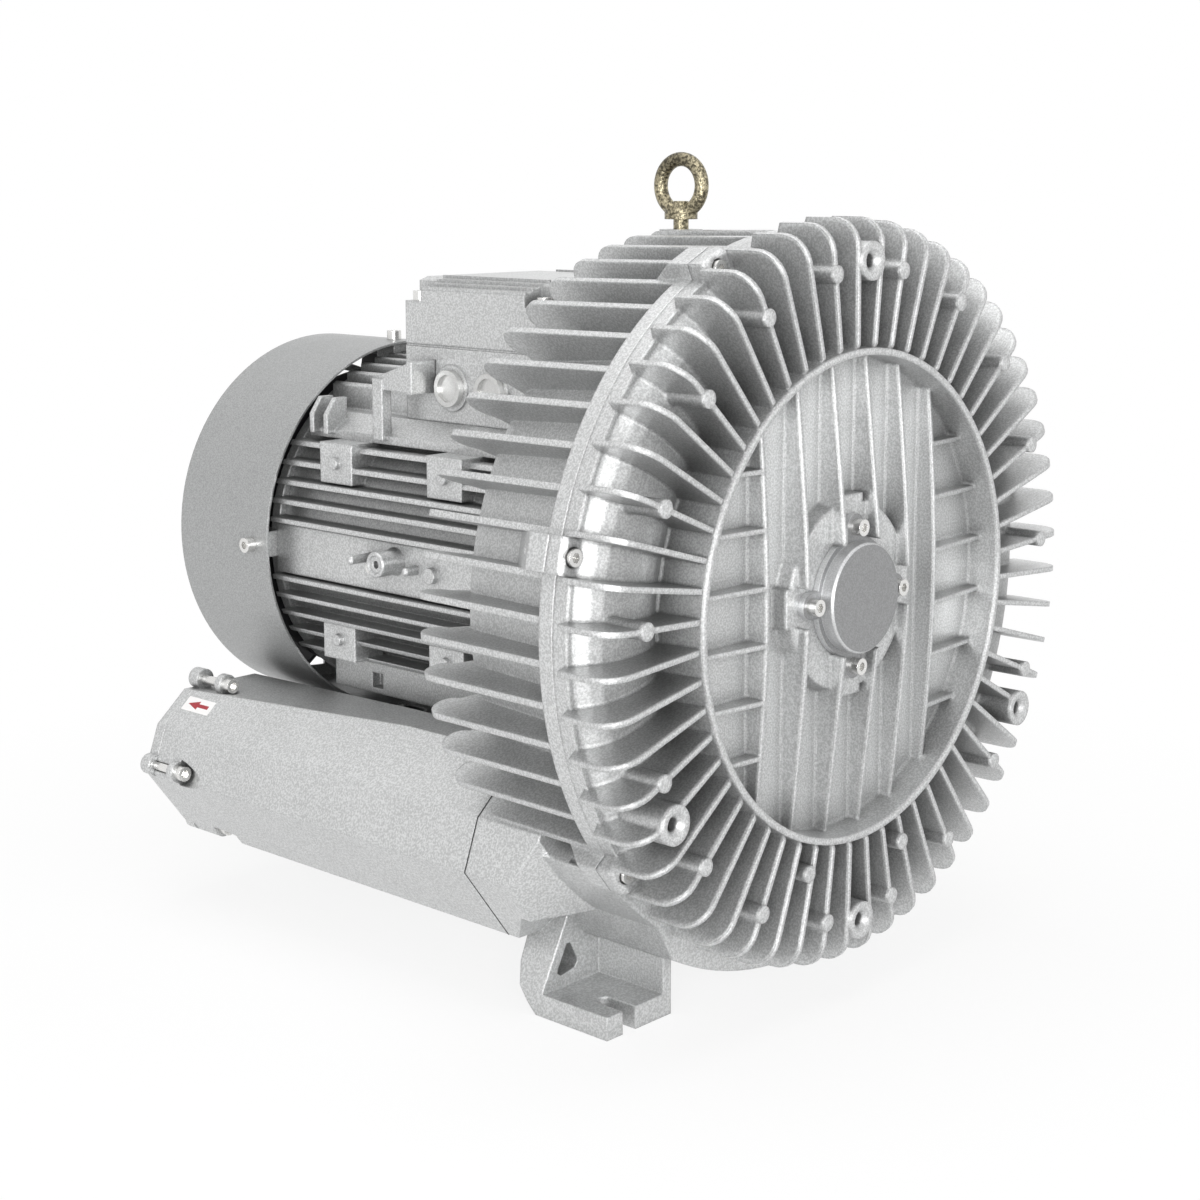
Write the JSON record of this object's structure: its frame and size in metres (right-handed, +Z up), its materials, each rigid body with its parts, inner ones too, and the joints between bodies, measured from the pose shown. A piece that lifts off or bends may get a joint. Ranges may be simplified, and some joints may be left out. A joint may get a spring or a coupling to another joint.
{
  "type": "side channel blower",
  "caption": "Finned side-channel blower with a built-on finned motor, fan cowl, terminal box, cast feet, lifting eye and two silencers with rear ports.",
  "frame": {"origin": "on the floor under the shaft, at the middle of the overall length", "axes": "+Z up, +Y along the shaft from the finned cover to the fan cowl, +X to the right seen from the cover"},
  "size_m": [0.5654, 0.632, 0.6455],
  "materials": {
    "cast_paint": "silver paint with fine metallic speckle on sand-cast aluminium",
    "cap_paint": "smooth silver-grey paint",
    "cowl_paint": "smooth silver paint on sheet steel",
    "zinc": "bright zinc-plated steel",
    "khaki_zinc": "yellow chromate on a rough forging",
    "steel": "turned steel",
    "bearing_steel": "ground bearing steel",
    "bare_aluminium": "unpainted die-cast aluminium",
    "seal_rubber": "black nitrile rubber",
    "lamination": "stacked electrical steel sheets",
    "enamelled_copper": "varnished copper wire",
    "fan_plastic": "black moulded plastic",
    "board_plastic": "dark moulded plastic",
    "plug_brass": "silver-painted plug",
    "stud_brass": "bare brass",
    "foam": "open-cell sound absorbing foam"
  },
  "bodies": {
    "stator": {"impeller_cover": "cast_paint", "bearing_cap": "cap_paint", "cap_screws": "zinc", "cover_screws": "zinc", "casing": "cast_paint", "eye_bolt": "khaki_zinc", "front_bearing_outer": "bearing_steel", "wave_washer": "steel", "shaft_seal": "seal_rubber", "drive_bearing_outer": "bearing_steel", "drive_bearing_retainer": "bare_aluminium", "retainer_screws": "zinc", "rear_bearing_outer": "bearing_steel", "motor_frame": "cast_paint", "frame_screws": "zinc", "stator_core": "lamination", "stator_windings": "enamelled_copper", "rear_shield": "cast_paint", "shield_screws": "zinc", "fan_cowl": "cowl_paint", "cowl_screws": "zinc", "terminal_box": "cast_paint", "terminal_box_screws": "zinc", "box_gasket": "seal_rubber", "terminal_lid": "cast_paint", "lid_screws": "zinc", "terminal_block": "board_plastic", "terminal_studs": "stud_brass", "blanking_plugs": "plug_brass", "earth_screw": "zinc", "silencer_left": "cast_paint", "silencer_right": "cast_paint", "absorber_left": "foam", "absorber_right": "foam", "end_cover_left": "cast_paint", "end_cover_right": "cast_paint", "end_cover_screws": "zinc", "silencer_flange_screws": "zinc", "rear_support": "cast_paint", "support_screws": "zinc"},
    "rotor": {"shaft": "steel", "impeller": "bare_aluminium", "impeller_key": "steel", "spacer_sleeve": "steel", "shaft_nut": "steel", "front_bearing_inner": "bearing_steel", "drive_bearing_inner": "bearing_steel", "rear_bearing_inner": "bearing_steel", "rotor_core": "lamination", "rotor_end_rings": "bare_aluminium", "cooling_fan": "fan_plastic", "fan_circlip": "steel"},
    "front_balls": {"front_bearing_balls": "bearing_steel"},
    "drive_balls": {"drive_bearing_balls": "bearing_steel"},
    "rear_balls": {"rear_bearing_balls": "bearing_steel"}
  },
  "joints": [
    {"name": "rotor_spin", "type": "hinge", "parent": "stator", "child": "rotor", "pos_m": [0, 0, 0.315], "axis": [0, 1, 0], "continuous": true},
    {"name": "front_balls_orbit", "type": "hinge", "parent": "stator", "child": "front_balls", "pos_m": [0, 0, 0.315], "axis": [0, 1, 0], "continuous": true},
    {"name": "drive_balls_orbit", "type": "hinge", "parent": "stator", "child": "drive_balls", "pos_m": [0, 0, 0.315], "axis": [0, 1, 0], "continuous": true},
    {"name": "rear_balls_orbit", "type": "hinge", "parent": "stator", "child": "rear_balls", "pos_m": [0, 0, 0.315], "axis": [0, 1, 0], "continuous": true}
  ],
  "couplings": [
    {"joint": "front_balls_orbit", "follows": "rotor_spin", "ratio": 0.3846},
    {"joint": "drive_balls_orbit", "follows": "rotor_spin", "ratio": 0.3895},
    {"joint": "rear_balls_orbit", "follows": "rotor_spin", "ratio": 0.3875}
  ]
}
